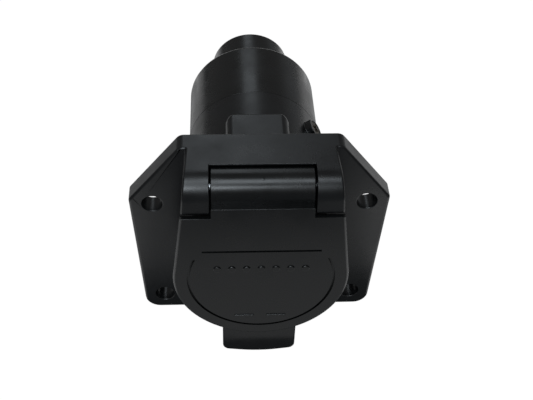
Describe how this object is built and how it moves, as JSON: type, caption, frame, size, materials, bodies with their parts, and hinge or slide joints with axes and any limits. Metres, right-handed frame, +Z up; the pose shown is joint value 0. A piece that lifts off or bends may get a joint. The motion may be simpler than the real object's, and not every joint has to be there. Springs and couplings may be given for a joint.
{
  "type": "trailer wiring connector",
  "caption": "Round trailer wiring socket with a screw flange, a sprung hinged lid, flat blade contacts around a centre pin, and a rear cover with a cable neck.",
  "frame": {"origin": "on the socket's axis, in the plane of the flange's rear face", "axes": "+Y along the socket's axis towards the cable, +Z up towards the lid's hinge, +X to the right seen from the lid"},
  "size_m": [0.0828, 0.1146, 0.0795],
  "materials": {
    "housing_plastic": "fine moulded texture, black",
    "lid_plastic": "fine moulded texture, black",
    "cover_plastic": "smooth moulded, black",
    "carrier_plastic": "smooth moulded, black",
    "seal_rubber": "matt moulded rubber",
    "pin_steel": "ground",
    "spring_steel": "drawn wire",
    "screw_steel": "zinc plated",
    "screw_brass": "yellow zinc plated",
    "contact_brass": "stamped"
  },
  "bodies": {
    "socket": {"housing": "housing_plastic", "rear_cover": "cover_plastic", "cover_seal": "seal_rubber", "cable_grommet": "seal_rubber", "hinge_pin": "pin_steel", "lid_spring": "spring_steel", "contact_carrier": "carrier_plastic", "carrier_gasket": "seal_rubber", "ground_blade": "contact_brass", "brake_blade": "contact_brass", "running_light_blade": "contact_brass", "charge_line_blade": "contact_brass", "left_turn_blade": "contact_brass", "right_turn_blade": "contact_brass", "reverse_light_pin": "contact_brass", "terminal_screws": "screw_steel", "retaining_screw": "screw_brass", "retaining_nut": "contact_brass"},
    "lid_flap": {"lid": "lid_plastic", "lid_gasket": "seal_rubber"}
  },
  "joints": [
    {"name": "lid_hinge", "type": "hinge", "parent": "socket", "child": "lid_flap", "pos_m": [0, -0.0156, 0.033], "axis": [-1, 0, 0], "range_deg": [0, 105], "stiffness_Nm_per_rad": 0.03, "springref_deg": -28.65, "deforming": ["lid_spring"]}
  ]
}
